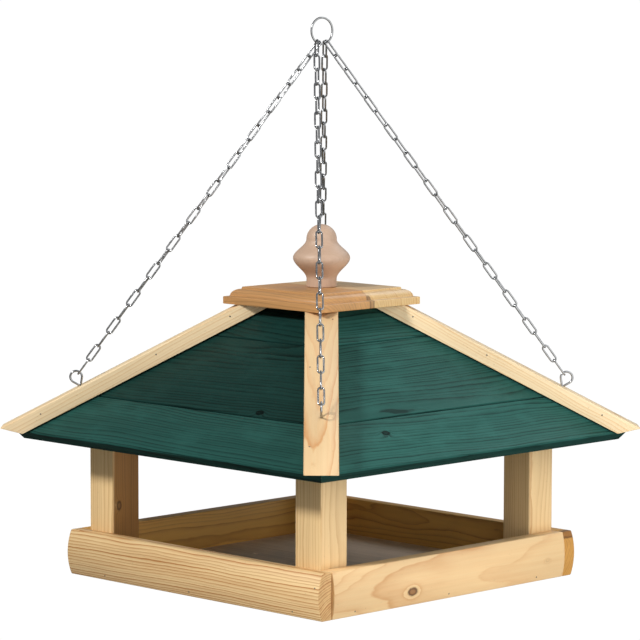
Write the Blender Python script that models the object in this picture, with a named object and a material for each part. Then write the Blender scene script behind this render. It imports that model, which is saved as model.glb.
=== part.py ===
"""Hanging bird table: a railed tray, four posts, a hipped board roof, and four chains on one ring.

Frame: metres, +Z up, X and Y parallel to the tray's sides. The origin is where the hook bears,
at the inside top of the ring, so the whole table hangs below it.
"""

import math

import bmesh
import bpy
from mathutils import Matrix, Vector

# ---------------------------------------------------------------- driving dimensions
GAP = 0.0003                     # clearance between pieces that touch
CUT_MARGIN = 0.0010              # how far a cutter reaches past the piece it cuts

# Ring and chain (steel)
RING_RADIUS = 0.01690            # to the middle of the wire
RING_WIRE = 0.0027               # wire diameters
RING_PLAN_ANGLE = math.radians(82.5)   # the ring's own plane, turned from +X about Z
LINK_WIRE = 0.0024
LINK_PITCH = 0.0220
LINK_WIDTH = 0.0098              # outside
LINK_BITE = 0.00025              # how far neighbouring links are sunk into each other
HOOK_GAP = 0.0005                # a link's play on the ring and on its screw eye
PIVOT_LIFT = 0.0014              # the swing's axis above the middle of the ring's lowest wire

# Screw eyes
EYE_RADIUS = 0.0076
EYE_WIRE = 0.0028
EYE_LIFT = 0.0128                # loop middle above the batten's face
EYE_SHANK = 0.049                # from the loop's middle down
EYE_REACH = 0.3117               # plan distance from the centre to where the shank enters

# Tray
TRAY_HALF = 0.2312               # centre to the side rails' edges and to the long rails' ends
RAIL_HEIGHT = 0.0588
RAIL_THICK = 0.0186              # side rails, at their top and bottom edges
RAIL_CROWN = 0.0042              # how far their outer face is arched
LONG_RAIL_THICK = 0.0165         # front and back rails, the same two measures
LONG_RAIL_CROWN = 0.0068
FLOOR_THICK = 0.0090
FLOOR_TOP = 0.0096
DRAIN_RADIUS = 0.0046
DRAIN_HOLES = {"left": (-0.132, 0.010), "right": (0.132, -0.010)}

# Posts
POST = 0.0450
POST_TOP = 0.2100
POST_EASE = 0.0010

# Roof: heights are above the bottom of the tray
EAVE_HALF = 0.2800
EAVE_HEIGHT = 0.1883             # top edge of the boards
ROOF_SLOPE = 0.735               # rise over run of each side
BOARD_THICK = 0.0125
BOARD_CHAMFER = 0.0016
BOARD_SEAMS = (0.2154, 0.1081)   # plan distance of the two joints in each side
ROOF_HOLE_HALF = 0.0580          # the boards stop here, under the cap
BATTEN_WIDTH = 0.0420
BATTEN_THICK = 0.0200
BATTEN_TIP = {"front": 0.4175, "right": 0.4125, "back": 0.4148, "left": 0.4148}   # along the hip, in plan
BATTEN_CLEAR = 0.0030            # how far a batten's lower edges stand off the boards
BATTEN_UNDERCUT = {"front": 4.0, "right": 13.0, "back": 14.0, "left": 14.0}   # degrees above level
BATTEN_INNER = 0.0600
BATTEN_EASE = 0.0009
RAFTER_WIDTH = 0.0200
RAFTER_DEPTH = 0.0300
RAFTER_OUTER = 0.3180
KING_HALF = 0.0300
KING_BOTTOM = 0.2900

# Cap and finial
CAP_BOTTOM = 0.3540
CAP_HALF = 0.09015
CAP_SLAB = 0.0095
CAP_LEDGE = 0.0062
CAP_OVOLO = (0.0108, 0.0090)     # width and height of the rounded moulding
CAP_STEP = 0.0008                # upright of the ledge below the moulding
CAP_FILLET = 0.0028
CAP_DRAFT = 0.0004               # how far the top fillet leans in
NECK_RADIUS = 0.0195
NECK_HEIGHT = 0.0100
BELLY_RADIUS = 0.0369
BELLY_HEIGHT = 0.0374
WAIST_RADIUS = 0.0197
WAIST_HEIGHT = 0.0613
DOME_HEIGHT = 0.0193
DOWEL_RADIUS = 0.0048
DOWEL_UP = 0.0250
DOWEL_DOWN = 0.0300

# Screws through the floor into the posts
SCREW_RADIUS = 0.0020
SCREW_HEAD = 0.0040
SCREW_LENGTH = 0.0400
SCREW_RIM = 0.0004               # upright edge of the countersunk head

# ---------------------------------------------------------------- derived sizes
HIP_SLOPE = ROOF_SLOPE / math.sqrt(2.0)
HIP_ANGLE = math.atan(HIP_SLOPE)
ROOF_ANGLE = math.atan(ROOF_SLOPE)
BOARD_PLUMB = BOARD_THICK / math.cos(ROOF_ANGLE)
RING_CENTRE_Z = -(RING_RADIUS - RING_WIRE / 2)
TRAY_Z = -0.7207                 # underside of the tray in the part's frame
RAIL_INNER = TRAY_HALF - RAIL_THICK
POST_OUTER = RAIL_INNER - GAP
FLOOR_BOTTOM = FLOOR_TOP - FLOOR_THICK
CAP_TOP = CAP_BOTTOM + CAP_SLAB + CAP_STEP + CAP_OVOLO[1] + CAP_FILLET
SWING_HEIGHT = RING_CENTRE_Z - RING_RADIUS + PIVOT_LIFT
# Heights above the hip line: the batten's groove, its lower side edges and its upper face
BATTEN_GROOVE = GAP / math.cos(HIP_ANGLE)
BATTEN_SIDE_LOW = BATTEN_GROOVE - HIP_SLOPE * BATTEN_WIDTH / 2.0 + BATTEN_CLEAR
BATTEN_TOP = BATTEN_SIDE_LOW + BATTEN_THICK / math.cos(HIP_ANGLE)

CORNERS = {"front": -45.0, "right": 45.0, "back": 135.0, "left": 225.0}
SIDES = {"front": -90.0, "right": 0.0, "back": 90.0, "left": 180.0}
LINK_PLACES = {"front": -0.0086, "left": -0.0056, "back": 0.0046, "right": 0.0076}


def roof_height(distance):
    """Height of the boards' upper face at a plan distance from the centre."""
    return EAVE_HEIGHT + (EAVE_HALF - distance) * ROOF_SLOPE


def hip_height(reach):
    """Height of the hip line at a plan distance measured along the hip."""
    return roof_height(reach / math.sqrt(2.0))


# ---------------------------------------------------------------- building helpers
def clear_scene():
    for obj in list(bpy.data.objects):
        bpy.data.objects.remove(obj, do_unlink=True)


def make_material(name, colour, roughness, metallic=0.0):
    material = bpy.data.materials.new(name)
    material.use_nodes = True
    shader = material.node_tree.nodes["Principled BSDF"]
    shader.inputs["Base Color"].default_value = (*colour, 1.0)
    shader.inputs["Roughness"].default_value = roughness
    shader.inputs["Metallic"].default_value = metallic
    material.diffuse_color = (*colour, 1.0)
    return material


def add_object(name, bm, material=None, smooth=False, parent=None):
    """Turn a bmesh, modelled about its own origin, into a named object."""
    bmesh.ops.recalc_face_normals(bm, faces=bm.faces)
    mesh = bpy.data.meshes.new(name)
    bm.to_mesh(mesh)
    bm.free()
    if smooth:
        mesh.shade_smooth()
        mesh.set_sharp_from_angle(angle=math.radians(40.0))
    obj = bpy.data.objects.new(name, mesh)
    bpy.context.collection.objects.link(obj)
    if material is not None:
        mesh.materials.append(material)
    obj.parent = parent
    return obj


def hide_cutter(obj):
    obj.hide_render = True
    obj.display_type = "WIRE"
    return obj


def subtract(obj, cutter):
    cut = obj.modifiers.new("cut_" + cutter.name, "BOOLEAN")
    cut.operation = "DIFFERENCE"
    cut.solver = "EXACT"
    cut.object = cutter


def sweep(bm, sections):
    """Skin matching outlines, one after the other, into one closed body."""
    rings = [[bm.verts.new(point) for point in section] for section in sections]
    count = len(rings[0])
    for lower, upper in zip(rings, rings[1:]):
        for i in range(count):
            j = (i + 1) % count
            bm.faces.new((lower[i], lower[j], upper[j], upper[i]))
    bm.faces.new(rings[0][::-1])
    bm.faces.new(rings[-1])


def turned(bm, profile, segments=32):
    """Turn a profile of (radius, height) points about Z; its ends lie on the axis."""
    loops = []
    for radius, height in profile:
        if radius == 0.0:
            loops.append([bm.verts.new((0.0, 0.0, height))])
            continue
        angles = [2.0 * math.pi * k / segments for k in range(segments)]
        loops.append([bm.verts.new((radius * math.cos(a), radius * math.sin(a), height)) for a in angles])
    for lower, upper in zip(loops, loops[1:]):
        for i in range(segments):
            j = (i + 1) % segments
            below = [lower[i % len(lower)], lower[j % len(lower)]]
            above = [upper[j % len(upper)], upper[i % len(upper)]]
            bm.faces.new(dict.fromkeys(below + above))


def cylinder_profile(radius, bottom, top):
    return [(0.0, bottom), (radius, bottom), (radius, top), (0.0, top)]


def tube_loop(bm, path, wire, across, sides=6):
    """A closed wire of round section along a flat closed path; across is the path's normal."""
    rings = []
    count = len(path)
    for k, point in enumerate(path):
        tangent = (path[(k + 1) % count] - path[k - 1]).normalized()
        outward = tangent.cross(across).normalized()
        ring = []
        for i in range(sides):
            angle = 2.0 * math.pi * i / sides
            offset = outward * math.cos(angle) + across * math.sin(angle)
            ring.append(bm.verts.new(point + offset * (wire / 2.0)))
        rings.append(ring)
    for k in range(count):
        lower, upper = rings[k], rings[(k + 1) % count]
        for i in range(sides):
            j = (i + 1) % sides
            bm.faces.new((lower[i], lower[j], upper[j], upper[i]))


def cut_plane(bm, point, normal):
    """Cut away what lies beyond a plane, on the side its normal points to, and close the cut."""
    parts = bm.verts[:] + bm.edges[:] + bm.faces[:]
    result = bmesh.ops.bisect_plane(
        bm, geom=parts, plane_co=point, plane_no=normal, clear_outer=True, dist=1e-6)
    rim = [item for item in result["geom_cut"] if isinstance(item, bmesh.types.BMEdge)]
    bmesh.ops.edgenet_fill(bm, edges=rim)


def place(obj, angle_degrees=0.0, height=TRAY_Z):
    """Turn a piece about the centre line and lift it from tray heights to the part's frame."""
    obj.location = (0.0, 0.0, height)
    obj.rotation_euler = (0.0, 0.0, math.radians(angle_degrees))
    return obj


# ---------------------------------------------------------------- tray
def rail_outline(thick, crown):
    """A rail's section: flat inside, top and bottom, and an arched outer face."""
    half = RAIL_HEIGHT / 2.0
    radius = (half * half + crown * crown) / (2.0 * crown)
    sweep_angle = math.asin(half / radius)
    steps = 10
    outline = [(0.0, RAIL_HEIGHT), (0.0, 0.0)]
    for k in range(steps + 1):
        angle = -sweep_angle + 2.0 * sweep_angle * k / steps
        depth = thick + crown - radius + radius * math.cos(angle)
        outline.append((depth, half + radius * math.sin(angle)))
    return outline


def build_rails(material, parent):
    for side, angle in SIDES.items():
        if side in ("front", "back"):
            outline = rail_outline(LONG_RAIL_THICK, LONG_RAIL_CROWN)
            reach = TRAY_HALF
        else:
            outline = rail_outline(RAIL_THICK, RAIL_CROWN)
            reach = RAIL_INNER - GAP
        bm = bmesh.new()
        sections = []
        for end in (-reach, reach):
            sections.append([Vector((RAIL_INNER + depth, end, z)) for depth, z in outline])
        sweep(bm, sections)
        place(add_object("tray_rail_" + side, bm, material, smooth=True, parent=parent), angle)


def build_floor(material, parent, screw_cutters):
    half = RAIL_INNER - GAP
    bm = bmesh.new()
    square = [(-half, -half), (half, -half), (half, half), (-half, half)]
    sweep(bm, [[Vector((x, y, z)) for x, y in square] for z in (FLOOR_BOTTOM, FLOOR_TOP)])
    floor = place(add_object("tray_floor", bm, material, parent=parent))
    for name, (x, y) in DRAIN_HOLES.items():
        drill = bmesh.new()
        turned(drill, cylinder_profile(DRAIN_RADIUS, FLOOR_BOTTOM - CUT_MARGIN, FLOOR_TOP + CUT_MARGIN), 20)
        cutter = hide_cutter(add_object("drain_cutter_" + name, drill, parent=parent))
        cutter.location = (x, y, TRAY_Z)
        subtract(floor, cutter)
    for cutter in screw_cutters:
        subtract(floor, cutter)


# ---------------------------------------------------------------- posts
def screw_profile(clearance=0.0):
    """A countersunk screw, head down, its head flush with the underside of the floor."""
    bottom = FLOOR_BOTTOM - (CUT_MARGIN if clearance else 0.0)
    head = SCREW_HEAD + clearance
    shank = SCREW_RADIUS + clearance
    rim = FLOOR_BOTTOM + SCREW_RIM
    tip = FLOOR_BOTTOM + SCREW_LENGTH + clearance
    return [(0.0, bottom), (head, bottom), (head, rim), (shank, rim + head - shank), (shank, tip - shank),
            (0.0, tip)]


def build_screws(material, parent):
    cutters = {}
    middle = (POST_OUTER - POST / 2.0) * math.sqrt(2.0)
    for corner, angle in CORNERS.items():
        turn = math.radians(angle)
        spot = Vector((middle * math.cos(turn), middle * math.sin(turn), TRAY_Z))
        bm = bmesh.new()
        turned(bm, screw_profile(), 16)
        add_object("post_screw_" + corner, bm, material, smooth=True, parent=parent).location = spot
        bm = bmesh.new()
        turned(bm, screw_profile(GAP), 16)
        cutter = hide_cutter(add_object("screw_cutter_" + corner, bm, parent=parent))
        cutter.location = spot
        cutters[corner] = cutter
    return cutters


def post_outline(grow=0.0):
    """Square plan of one post with eased edges, in the +X +Y corner."""
    inner = POST_OUTER - POST - grow
    outer = POST_OUTER + grow
    ease = 0.0 if grow else POST_EASE
    plan = []
    square = ((inner, inner, 1, 1), (outer, inner, -1, 1), (outer, outer, -1, -1), (inner, outer, 1, -1))
    for x, y, sx, sy in square:
        pair = [(x, y + sy * ease), (x + sx * ease, y)]
        plan += pair if sx == sy else pair[::-1]
    return plan if ease else [(inner, inner), (outer, inner), (outer, outer), (inner, outer)]


def build_posts(material, parent, screw_cutters):
    """Posts stand on the floor inside the rails' corners; returns cutters that notch the rafters."""
    notches = {}
    for corner, angle in CORNERS.items():
        bm = bmesh.new()
        heights = (FLOOR_TOP + GAP, POST_TOP)
        sweep(bm, [[Vector((x, y, z)) for x, y in post_outline()] for z in heights])
        post = place(add_object("corner_post_" + corner, bm, material, parent=parent), angle - 45.0)
        subtract(post, screw_cutters[corner])
        bm = bmesh.new()
        heights = (FLOOR_TOP, POST_TOP + GAP)
        sweep(bm, [[Vector((x, y, z)) for x, y in post_outline(GAP)] for z in heights])
        notches[corner] = place(hide_cutter(add_object("notch_" + corner, bm, parent=parent)), angle - 45.0)
    return notches


# ---------------------------------------------------------------- roof
def board_profile(lower, upper, plumb_top):
    """Section across one board, as (plan distance, height) points; its edges are square cut."""
    drop = Vector((-BOARD_THICK * math.sin(ROOF_ANGLE), -BOARD_THICK * math.cos(ROOF_ANGLE)))
    along = Vector((-math.cos(ROOF_ANGLE), math.sin(ROOF_ANGLE)))
    low = Vector((lower, roof_height(lower)))
    high = Vector((upper, roof_height(upper)))
    points = [low + drop, low + drop.normalized() * BOARD_CHAMFER, low + along * BOARD_CHAMFER]
    if plumb_top:
        return points + [high, high + Vector((0.0, -BOARD_PLUMB))]
    points += [high - along * BOARD_CHAMFER, high + drop.normalized() * BOARD_CHAMFER, high + drop]
    return points


def build_boards(material, parent, eye_cutters):
    """Three boards on each side, mitred to their neighbours along the hips."""
    edges = (EAVE_HALF, *BOARD_SEAMS, ROOF_HOLE_HALF)
    for side, angle in SIDES.items():
        for k, level in enumerate(("lower", "middle", "upper")):
            top_edge = edges[k + 1] + (GAP * math.cos(ROOF_ANGLE) if k < 2 else 0.0)
            profile = board_profile(edges[k], top_edge, plumb_top=(k == 2))
            bm = bmesh.new()
            ends = []
            for sign in (-1.0, 1.0):
                ends.append([Vector((d, sign * (d - GAP / math.sqrt(2.0)), z)) for d, z in profile])
            sweep(bm, ends)
            name = "roof_board_" + side + "_" + level
            board = place(add_object(name, bm, material, parent=parent), angle)
            if level == "upper":
                continue
            for corner, corner_angle in CORNERS.items():
                if abs((corner_angle - angle + 180.0) % 360.0 - 180.0) < 46.0:
                    subtract(board, eye_cutters[corner])


def hip_section(points, reach, lift=0.0):
    """Stand an outline of (across, up) points upright on the hip line at a plan distance."""
    base = hip_height(reach) + lift
    return [Vector((reach, across, base + up)) for across, up in points]


def build_battens(material, parent, eye_cutters):
    """Hip battens: their V groove, a little flatter than the hip, bears on it; the tips are undercut."""
    half = BATTEN_WIDTH / 2.0
    eased = BATTEN_TOP - BATTEN_EASE
    outline = [(half, BATTEN_SIDE_LOW), (half, eased), (half - BATTEN_EASE, BATTEN_TOP)]
    outline += [(BATTEN_EASE - half, BATTEN_TOP), (-half, eased), (-half, BATTEN_SIDE_LOW)]
    outline.append((0.0, BATTEN_GROOVE))
    for corner, angle in CORNERS.items():
        reach = BATTEN_TIP[corner]
        tip = Vector((reach, 0.0, hip_height(reach) + BATTEN_TOP))
        bm = bmesh.new()
        sweep(bm, [hip_section(outline, end) for end in (BATTEN_INNER, reach)])
        undercut = math.radians(BATTEN_UNDERCUT[corner])
        cut_plane(bm, tip, Vector((math.sin(undercut), 0.0, -math.cos(undercut))))
        cut_plane(bm, Vector((0.0, 0.0, CAP_BOTTOM - GAP)), Vector((0.0, 0.0, 1.0)))
        batten = place(add_object("hip_batten_" + corner, bm, material, parent=parent), angle)
        subtract(batten, eye_cutters[corner])


def build_rafters(material, parent, notches, eye_cutters):
    """Hip rafters under the boards, from the king block out over the posts."""
    half = RAFTER_WIDTH / 2.0
    ridge = -BOARD_PLUMB - GAP / math.cos(HIP_ANGLE)
    outline = [(half, ridge - RAFTER_DEPTH), (half, ridge - half * HIP_SLOPE), (0.0, ridge)]
    outline += [(-half, ridge - half * HIP_SLOPE), (-half, ridge - RAFTER_DEPTH)]
    for corner, angle in CORNERS.items():
        bm = bmesh.new()
        sweep(bm, [hip_section(outline, reach) for reach in (KING_HALF + GAP, RAFTER_OUTER)])
        cut_plane(bm, Vector((0.0, 0.0, CAP_BOTTOM - GAP)), Vector((0.0, 0.0, 1.0)))
        rafter = place(add_object("hip_rafter_" + corner, bm, material, parent=parent), angle)
        subtract(rafter, notches[corner])
        subtract(rafter, eye_cutters[corner])


# ---------------------------------------------------------------- cap and finial
def cap_profile():
    """Edge of the cap as (half side, height): a square slab, a ledge, an ovolo and a fillet."""
    shoulder = CAP_BOTTOM + CAP_SLAB
    width, height = CAP_OVOLO
    inner = CAP_HALF - CAP_LEDGE - width
    profile = [(CAP_HALF, CAP_BOTTOM), (CAP_HALF, shoulder)]
    steps = 7
    for k in range(steps + 1):
        angle = 0.5 * math.pi * k / steps
        profile.append((inner + width * math.cos(angle), shoulder + CAP_STEP + height * math.sin(angle)))
    profile.append((inner - CAP_DRAFT, CAP_TOP))
    return profile


def build_cap(material, parent, dowel_cutter):
    corners = ((-1, -1), (1, -1), (1, 1), (-1, 1))
    bm = bmesh.new()
    sweep(bm, [[Vector((sx * half, sy * half, z)) for sx, sy in corners] for half, z in cap_profile()])
    cap = place(add_object("cap_plate", bm, material, smooth=True, parent=parent))
    subtract(cap, dowel_cutter)


def build_king_block(material, parent, dowel_cutter):
    """A short square block under the cap, turned so that each face takes a rafter."""
    faces = ((-1, -1), (1, -1), (1, 1), (-1, 1))
    bm = bmesh.new()
    heights = (KING_BOTTOM, CAP_BOTTOM - GAP)
    sweep(bm, [[Vector((sx * KING_HALF, sy * KING_HALF, z)) for sx, sy in faces] for z in heights])
    block = place(add_object("king_block", bm, material, parent=parent), 45.0)
    subtract(block, dowel_cutter)


def finial_profile():
    """A turned knob: a straight neck, a wide belly with hollow shoulders, and a domed head."""
    profile = [(0.0, 0.0), (NECK_RADIUS, 0.0), (NECK_RADIUS, NECK_HEIGHT)]
    swell = ((NECK_RADIUS, NECK_HEIGHT), (BELLY_RADIUS, BELLY_HEIGHT), (WAIST_RADIUS, WAIST_HEIGHT))
    steps = 8
    for (r0, z0), (r1, z1) in zip(swell, swell[1:]):
        for k in range(1, steps + 1):
            share = 0.5 - 0.5 * math.cos(math.pi * k / steps)
            profile.append((r0 + (r1 - r0) * share, z0 + (z1 - z0) * k / steps))
    for k in range(1, steps):
        angle = 0.5 * math.pi * k / steps
        profile.append((WAIST_RADIUS * math.cos(angle), WAIST_HEIGHT + DOME_HEIGHT * math.sin(angle)))
    profile.append((0.0, WAIST_HEIGHT + DOME_HEIGHT))
    return profile


def build_finial(material, parent, dowel_cutter):
    bm = bmesh.new()
    turned(bm, finial_profile(), 30)
    finial = add_object("finial", bm, material, smooth=True, parent=parent)
    finial.location = (0.0, 0.0, TRAY_Z + CAP_TOP + GAP)
    subtract(finial, dowel_cutter)


def build_dowel(material, parent):
    """The dowel joins the finial, the cap and the king block; returns the cutter for its holes."""
    bottom = CAP_BOTTOM - DOWEL_DOWN
    top = CAP_TOP + DOWEL_UP
    bm = bmesh.new()
    turned(bm, cylinder_profile(DOWEL_RADIUS, bottom, top), 20)
    place(add_object("finial_dowel", bm, material, smooth=True, parent=parent))
    bm = bmesh.new()
    turned(bm, cylinder_profile(DOWEL_RADIUS + 2 * GAP, bottom - CUT_MARGIN, top + CUT_MARGIN), 20)
    return place(hide_cutter(add_object("dowel_cutter", bm, parent=parent)))


# ---------------------------------------------------------------- screw eyes
def hip_direction(corner):
    angle = math.radians(CORNERS[corner])
    return Vector((math.cos(angle), math.sin(angle), 0.0))


def eye_frame(corner):
    """Middle of the loop, and the direction in which the shank runs down into the roof."""
    outward = hip_direction(corner)
    up = (outward * math.sin(HIP_ANGLE) + Vector((0.0, 0.0, math.cos(HIP_ANGLE)))).normalized()
    foot = outward * EYE_REACH
    foot.z = TRAY_Z + hip_height(EYE_REACH) + BATTEN_TOP
    return foot + up * EYE_LIFT, -up


def shank_matrix(middle, down):
    return Matrix.Translation(middle) @ down.to_track_quat("Z", "Y").to_matrix().to_4x4()


def build_eye_cutters(parent):
    cutters = {}
    for corner in CORNERS:
        middle, down = eye_frame(corner)
        bm = bmesh.new()
        clearance = EYE_WIRE / 2.0 + GAP
        turned(bm, cylinder_profile(clearance, EYE_RADIUS, EYE_SHANK + CUT_MARGIN), 12)
        cutter = hide_cutter(add_object("eye_cutter_" + corner, bm, parent=parent))
        cutter.matrix_local = shank_matrix(middle, down)
        cutters[corner] = cutter
    return cutters


def build_eyes(material, parent):
    """A loop of wire upright over each hip, on a shank that runs through into the rafter."""
    for corner in CORNERS:
        middle, down = eye_frame(corner)
        bm = bmesh.new()
        angles = [2.0 * math.pi * k / 20 for k in range(20)]
        path = [Vector((EYE_RADIUS * math.cos(a), 0.0, EYE_RADIUS * math.sin(a))) for a in angles]
        tube_loop(bm, path, EYE_WIRE, Vector((0.0, 1.0, 0.0)), sides=6)
        eye = add_object("screw_eye_" + corner, bm, material, smooth=True, parent=parent)
        turn = Matrix.Rotation(math.radians(CORNERS[corner]), 4, "Z")
        eye.matrix_local = Matrix.Translation(middle) @ turn
        bm = bmesh.new()
        tip = EYE_SHANK - EYE_WIRE / 2.0
        side = EYE_WIRE / 2.0
        turned(bm, [(0.0, EYE_RADIUS), (side, EYE_RADIUS), (side, tip), (0.0, EYE_SHANK)], 10)
        shank = hide_cutter(add_object("eye_shank_" + corner, bm, parent=parent))
        shank.matrix_local = shank_matrix(middle, down)
        weld = eye.modifiers.new("shank", "BOOLEAN")
        weld.operation = "UNION"
        weld.object = shank


# ---------------------------------------------------------------- ring and chains
def ring_tangent():
    return Vector((math.cos(RING_PLAN_ANGLE), math.sin(RING_PLAN_ANGLE), 0.0))


def build_ring(material, parent):
    bm = bmesh.new()
    angles = [2.0 * math.pi * k / 32 for k in range(32)]
    path = [Vector((RING_RADIUS * math.cos(a), 0.0, RING_RADIUS * math.sin(a))) for a in angles]
    tube_loop(bm, path, RING_WIRE, Vector((0.0, 1.0, 0.0)), sides=8)
    ring = add_object("hanging_ring", bm, material, smooth=True, parent=parent)
    ring.location = (0.0, 0.0, RING_CENTRE_Z)
    ring.rotation_euler = (0.0, 0.0, RING_PLAN_ANGLE)


def chain_ends(corner):
    """Wire middles of the ring and of the screw eye where this chain's end links hook on."""
    place_on_ring = LINK_PLACES[corner]
    drop = math.sqrt(RING_RADIUS ** 2 - place_on_ring ** 2)
    start = ring_tangent() * place_on_ring + Vector((0.0, 0.0, RING_CENTRE_Z - drop))
    middle, _ = eye_frame(corner)
    pull = (start - middle).normalized()
    return start, middle + pull * EYE_RADIUS


def link_path(centre, along, width_axis, inner_length):
    """Middle line of one link: two straight sides joined by half rounds."""
    radius = (LINK_WIDTH - LINK_WIRE) / 2.0
    straight = (inner_length + LINK_WIRE) / 2.0 - radius
    path = []
    steps = 4
    for end in (1.0, -1.0):
        for k in range(steps + 1):
            angle = math.pi * k / steps
            side = width_axis * (end * radius * math.cos(angle))
            reach = along * (end * (straight + radius * math.sin(angle)))
            path.append(centre + side + reach)
    return path


def build_chain(corner, material, parent, origin):
    """Links, each turned a quarter turn from the last, hooked over the ring and under the eye."""
    start, finish = chain_ends(corner)
    along = (finish - start).normalized()
    top = start - along * (RING_WIRE / 2.0 + HOOK_GAP + LINK_WIRE / 2.0)
    bottom = finish + along * (EYE_WIRE / 2.0 + HOOK_GAP + LINK_WIRE / 2.0)
    length = (bottom - top).length
    links = round(length / LINK_PITCH)
    inner = (length - LINK_WIRE - (links - 1) * LINK_BITE) / links
    first_width = ring_tangent().cross(along).normalized()
    last_width = along.cross(hip_direction(corner).cross(Vector((0.0, 0.0, 1.0)))).cross(along).normalized()
    wanted = math.atan2(along.dot(first_width.cross(last_width)), first_width.dot(last_width))
    free_turn = (links - 1) * math.pi / 2.0
    twist = (wanted - free_turn + math.pi / 2.0) % math.pi - math.pi / 2.0
    step = math.pi / 2.0 + twist / (links - 1)
    meshes = (bmesh.new(), bmesh.new())
    for k in range(links):
        centre = top + along * ((inner + LINK_WIRE) / 2.0 + k * (inner + LINK_BITE)) - origin
        width_axis = Matrix.Rotation(k * step, 3, along) @ first_width
        path = link_path(centre, along, width_axis, inner)
        tube_loop(meshes[k % 2], path, LINK_WIRE, along.cross(width_axis).normalized(), sides=4)
    chain = add_object("chain_" + corner, meshes[0], material, smooth=True, parent=parent)
    others = hide_cutter(add_object("chain_other_links_" + corner, meshes[1], parent=parent))
    weld = chain.modifiers.new("links", "BOOLEAN")
    weld.operation = "UNION"
    weld.object = others


# ---------------------------------------------------------------- the whole table
def main():
    clear_scene()
    pine = make_material("pine", (0.78, 0.55, 0.27), 0.55)
    pale_pine = make_material("pale_pine", (0.85, 0.66, 0.38), 0.55)
    heartwood = make_material("heartwood_pine", (0.62, 0.36, 0.14), 0.50)
    beech = make_material("beech", (0.72, 0.47, 0.32), 0.50)
    board = make_material("weathered_floor_board", (0.24, 0.19, 0.14), 0.80)
    green = make_material("green_stain", (0.03, 0.10, 0.08), 0.60)
    zinc = make_material("zinc_plated_steel", (0.62, 0.64, 0.67), 0.28, 1.0)

    hinge = bpy.data.objects.new("feeder_swing", None)
    bpy.context.collection.objects.link(hinge)
    hinge_origin = Vector((0.0, 0.0, SWING_HEIGHT))
    hinge.location = hinge_origin
    # Everything below the ring is modelled in the part's own frame and hangs from the hinge.
    house = bpy.data.objects.new("house", None)
    bpy.context.collection.objects.link(house)
    house.parent = hinge
    house.location = -hinge_origin

    build_ring(zinc, None)
    eye_cutters = build_eye_cutters(house)
    screw_cutters = build_screws(zinc, house)
    dowel_cutter = build_dowel(beech, house)
    notches = build_posts(pine, house, screw_cutters)
    build_rails(pale_pine, house)
    build_floor(board, house, list(screw_cutters.values()))
    build_boards(green, house, eye_cutters)
    build_battens(pale_pine, house, eye_cutters)
    build_rafters(pine, house, notches, eye_cutters)
    build_cap(heartwood, house, dowel_cutter)
    build_king_block(pine, house, dowel_cutter)
    build_finial(beech, house, dowel_cutter)
    build_eyes(zinc, house)
    for corner in CORNERS:
        build_chain(corner, zinc, hinge, hinge_origin)


main()
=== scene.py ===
"""Looks of a hanging bird table: eased timber, a turned finial, welded chain and a steel ring."""

import math

import bmesh
import bpy
from mathutils import Matrix, Vector

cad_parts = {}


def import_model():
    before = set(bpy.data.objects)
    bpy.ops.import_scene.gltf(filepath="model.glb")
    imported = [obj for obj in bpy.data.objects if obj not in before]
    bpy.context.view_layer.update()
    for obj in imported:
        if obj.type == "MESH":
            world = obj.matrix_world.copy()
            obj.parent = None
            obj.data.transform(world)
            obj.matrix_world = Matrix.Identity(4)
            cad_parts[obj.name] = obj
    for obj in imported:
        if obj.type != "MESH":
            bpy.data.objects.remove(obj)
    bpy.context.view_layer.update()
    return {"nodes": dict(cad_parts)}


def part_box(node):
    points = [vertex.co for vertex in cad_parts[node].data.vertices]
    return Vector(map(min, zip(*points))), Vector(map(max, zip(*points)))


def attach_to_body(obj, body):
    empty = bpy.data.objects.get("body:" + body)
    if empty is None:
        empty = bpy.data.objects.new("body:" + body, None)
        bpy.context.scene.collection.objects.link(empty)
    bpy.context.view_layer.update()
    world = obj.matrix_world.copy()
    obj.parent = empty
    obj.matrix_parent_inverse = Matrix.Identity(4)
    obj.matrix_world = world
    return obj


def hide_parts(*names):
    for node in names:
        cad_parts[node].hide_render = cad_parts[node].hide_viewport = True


UP = Vector((0.0, 0.0, 1.0))
ACROSS = Vector((1.0, 0.0, 0.0))
CORNERS = {"front": -45.0, "right": 45.0, "back": 135.0, "left": 225.0}
SIDES = {"front": -90.0, "right": 0.0, "back": 90.0, "left": 180.0}
LEVELS = ("lower", "middle", "upper")

# Camera: metres in the part's frame, the lens and sensor in millimetres
CAMERA_PLACE = Vector((3.0009, -3.0009, 0.04465))
CAMERA_TARGET = Vector((0.0, 0.0, -0.3879))
CAMERA_LENS = 185.66
CAMERA_SENSOR = 36.0
CAMERA_SHIFT = -0.0023
CAMERA_ROLL = math.radians(0.1)

# Stage and light
STAGE_BELOW = 0.55               # how far the floor lies under the tray
STAGE_HALF = 14.0
SHOWN_WHITE = 1.02               # brightness of the surroundings where the camera sees them
WORLD_LIGHT = 0.10               # and as light on the table
WORLD_MIRRORED = 0.30            # and in reflections
LIGHT_TARGET = Vector((0.0, 0.0, -0.45))
DAYLIGHT = (1.0, 0.985, 0.955)
SIDE_LIGHT = (1.0, 0.985, 0.96)
COOL_LIGHT = (0.94, 0.98, 1.0)

# Roof
ROOF_SLOPE = 0.735               # rise over run of each side
ROOF_ANGLE = math.atan(ROOF_SLOPE)
HIP_ANGLE = math.atan(ROOF_SLOPE / math.sqrt(2.0))

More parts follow.
